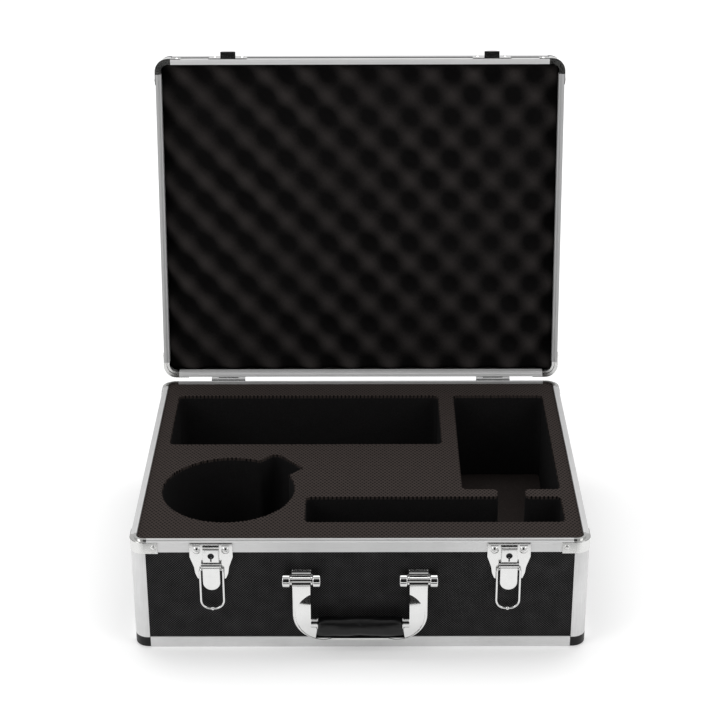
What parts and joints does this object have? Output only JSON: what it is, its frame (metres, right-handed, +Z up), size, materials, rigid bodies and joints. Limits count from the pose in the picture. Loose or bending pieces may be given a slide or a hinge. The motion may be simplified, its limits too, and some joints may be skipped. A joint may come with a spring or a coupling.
{
  "type": "equipment case",
  "caption": "Hard equipment case with aluminium frame, black textured boards, hinged lid, toggle latches, drop handle and cut-out foam insert.",
  "frame": {"origin": "middle of the base's underside, on the surface it stands on", "axes": "+X along the front to the right, +Y towards the hinges, +Z up"},
  "size_m": [0.464, 0.4953, 0.4975],
  "materials": {
    "laminate_board": "black textured laminate on board, fine raised dots",
    "frame_aluminium": "satin anodised extrusion",
    "plated_corner": "bright nickel-plated pressed steel",
    "corner_plastic": "moulded black plastic",
    "foam_top": "charcoal foam sheet with a fine dotted skin",
    "foam_core": "black closed-cell foam",
    "egg_foam": "black convoluted foam",
    "foot_rubber": "moulded rubber",
    "grip_leather": "black padded grip with fine grain",
    "chrome_handle": "polished chrome plate",
    "lock_steel": "dark turned steel",
    "chrome_latch": "polished nickel plate",
    "hinge_steel": "plated steel"
  },
  "bodies": {
    "root": {"back_feet": "foot_rubber", "base_back_board": "laminate_board", "base_bottom_board": "laminate_board", "base_corner_caps": "corner_plastic", "base_corner_posts": "frame_aluminium", "base_foam_block": "foam_core", "base_foam_floor": "foam_core", "base_foam_top_sheet": "foam_top", "base_front_board": "laminate_board", "base_left_board": "laminate_board", "base_long_edges": "frame_aluminium", "base_right_board": "laminate_board", "base_rim_back": "frame_aluminium", "base_rim_braces": "plated_corner", "base_rim_corners": "plated_corner", "base_rim_front": "frame_aluminium", "base_rim_left": "frame_aluminium", "base_rim_right": "frame_aluminium", "base_short_edges": "frame_aluminium", "handle_bracket_left": "chrome_handle", "handle_bracket_right": "chrome_handle", "handle_pin_left": "chrome_handle", "handle_pin_right": "chrome_handle", "hinge_base_leaves": "hinge_steel", "hinge_pins": "hinge_steel", "latch_pins": "chrome_latch", "latch_plate_left": "chrome_latch", "latch_plate_right": "chrome_latch", "latch_rivets": "chrome_latch"},
    "lid": {"hinge_lid_leaves": "hinge_steel", "lid_back_board": "laminate_board", "lid_catch_left": "chrome_latch", "lid_catch_right": "chrome_latch", "lid_catch_rivets": "chrome_latch", "lid_corner_caps": "corner_plastic", "lid_corner_posts": "frame_aluminium", "lid_egg_foam": "egg_foam", "lid_front_board": "laminate_board", "lid_left_board": "laminate_board", "lid_long_edges": "frame_aluminium", "lid_right_board": "laminate_board", "lid_rim_back": "frame_aluminium", "lid_rim_braces": "plated_corner", "lid_rim_corners": "plated_corner", "lid_rim_front": "frame_aluminium", "lid_rim_left": "frame_aluminium", "lid_rim_right": "frame_aluminium", "lid_short_edges": "frame_aluminium", "lid_top_board": "laminate_board"},
    "handle": {"handle_bow": "chrome_handle", "handle_ferrules": "chrome_handle", "handle_grip": "grip_leather"},
    "bail_left": {"latch_bail_left": "chrome_latch"},
    "bail_right": {"latch_bail_right": "chrome_latch"},
    "lever_left": {"latch_lever_left": "chrome_latch"},
    "lever_right": {"latch_lever_right": "chrome_latch"},
    "lock_plug_left": {"latch_lock_plug_left": "lock_steel"},
    "lock_plug_right": {"latch_lock_plug_right": "lock_steel"}
  },
  "joints": [
    {"name": "lid_hinge", "type": "hinge", "parent": "root", "child": "lid", "pos_m": [0, 0.1882, 0.12325], "axis": [1, 0, 0], "range_deg": [0, 99.7]},
    {"name": "handle_hinge", "type": "hinge", "parent": "root", "child": "handle", "pos_m": [0, -0.1942, 0.0846], "axis": [-1, 0, 0], "range_deg": [0, 95]},
    {"name": "latch_lever_left", "type": "hinge", "parent": "root", "child": "lever_left", "pos_m": [-0.1485, -0.1892, 0.0987], "axis": [1, 0, 0], "range_deg": [-100, 0]},
    {"name": "bail_left", "type": "hinge", "parent": "lever_left", "child": "bail_left", "pos_m": [-0.1485, -0.189, 0.0944], "axis": [-1, 0, 0], "range_deg": [0, 180]},
    {"name": "lock_plug_left", "type": "hinge", "parent": "root", "child": "lock_plug_left", "pos_m": [-0.1485, -0.1868, 0.11], "axis": [0, 1, 0], "range_deg": [0, 90]},
    {"name": "latch_lever_right", "type": "hinge", "parent": "root", "child": "lever_right", "pos_m": [0.1485, -0.1892, 0.0987], "axis": [1, 0, 0], "range_deg": [-100, 0]},
    {"name": "bail_right", "type": "hinge", "parent": "lever_right", "child": "bail_right", "pos_m": [0.1485, -0.189, 0.0944], "axis": [-1, 0, 0], "range_deg": [0, 180]},
    {"name": "lock_plug_right", "type": "hinge", "parent": "root", "child": "lock_plug_right", "pos_m": [0.1485, -0.1868, 0.11], "axis": [0, 1, 0], "range_deg": [0, 90]}
  ]
}
